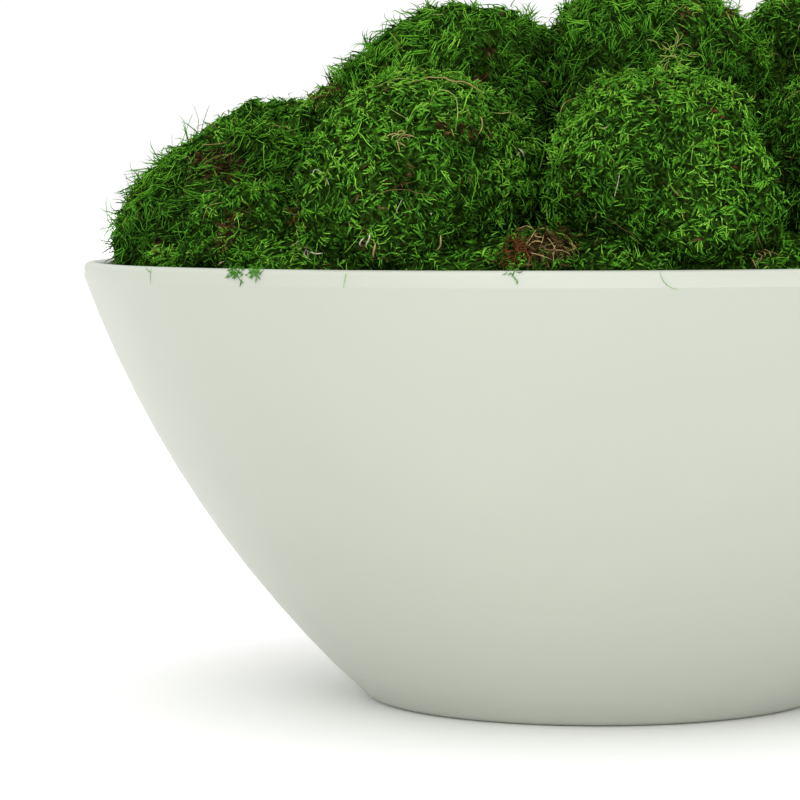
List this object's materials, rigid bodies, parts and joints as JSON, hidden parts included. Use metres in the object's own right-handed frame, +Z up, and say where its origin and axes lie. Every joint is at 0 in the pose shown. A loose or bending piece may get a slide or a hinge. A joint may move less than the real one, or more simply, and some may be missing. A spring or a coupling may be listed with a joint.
{
  "type": "moss bowl garden",
  "caption": "Round tapered glazed bowl filled with a foam bed and packed with cushions of moss in a low ring and a higher crown.",
  "frame": {"origin": "centre of the foot, on the plane that the bowl stands on", "axes": "+Z up along the bowl's axis, -Y towards the pictured front, +X to the right as seen from there"},
  "size_m": [0.508, 0.508, 0.3568],
  "materials": {
    "glaze": "satin",
    "foam": "matte",
    "moss": "matte",
    "dry_moss": "matte"
  },
  "bodies": {
    "root": {"bowl": "glaze", "foam_bed": "foam", "moss_front_left": "moss", "moss_front_middle": "moss", "moss_front_right": "moss", "moss_right": "moss", "moss_right_rear": "moss", "moss_rear_right": "moss", "moss_rear": "moss", "moss_rear_left": "moss", "moss_left_rear": "moss", "moss_left": "moss", "moss_crown_left": "moss", "moss_crown_front": "moss", "moss_crown_right": "moss", "moss_crown_rear": "moss", "moss_crown_rear_left": "moss", "moss_small_front": "dry_moss", "moss_small_left": "dry_moss", "moss_small_right": "dry_moss", "moss_small_rear": "dry_moss", "moss_small_rear_left": "dry_moss", "moss_small_inner_left": "dry_moss"}
  },
  "joints": []
}
